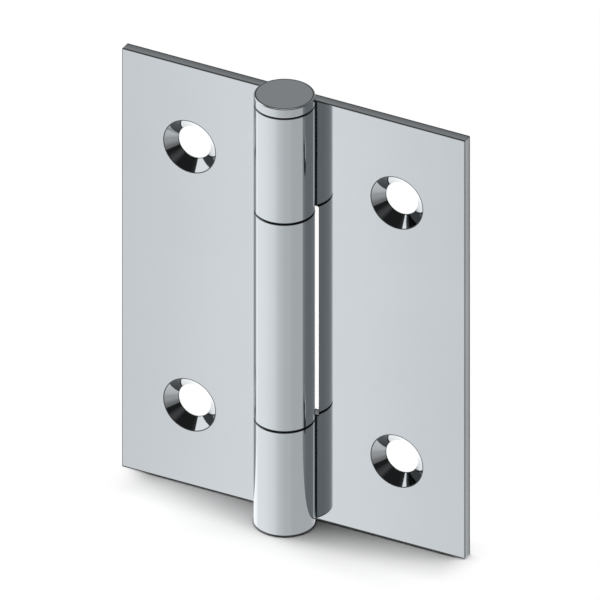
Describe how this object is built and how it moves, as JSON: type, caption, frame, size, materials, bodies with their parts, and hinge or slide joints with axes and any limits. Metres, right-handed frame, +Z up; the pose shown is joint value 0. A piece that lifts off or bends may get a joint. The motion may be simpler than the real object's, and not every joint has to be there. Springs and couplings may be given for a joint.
{
  "type": "leaf hinge",
  "caption": "Rolled steel leaf hinge: flat leaves with countersunk screw holes, their tabs curled round a headed pin, so a door or lid can swing.",
  "frame": {"origin": "on the pin's axis, level with the lower edge of the leaves", "axes": "+Z up along the pin, towards its head; +X along the open right leaf; +Y out of the leaves' backs, towards door and frame"},
  "size_m": [0.048, 0.0076, 0.0613],
  "materials": {
    "leaf_steel": "polished",
    "pin_steel": "polished"
  },
  "bodies": {
    "fixed_leaf": {"right_leaf": "leaf_steel", "hinge_pin": "pin_steel"},
    "swinging_leaf": {"left_leaf": "leaf_steel"}
  },
  "joints": [
    {"name": "leaf_swing", "type": "hinge", "parent": "fixed_leaf", "child": "swinging_leaf", "pos_m": [0, 0, 0.03], "axis": [0, 0, 1], "range_deg": [-80, 190]}
  ]
}
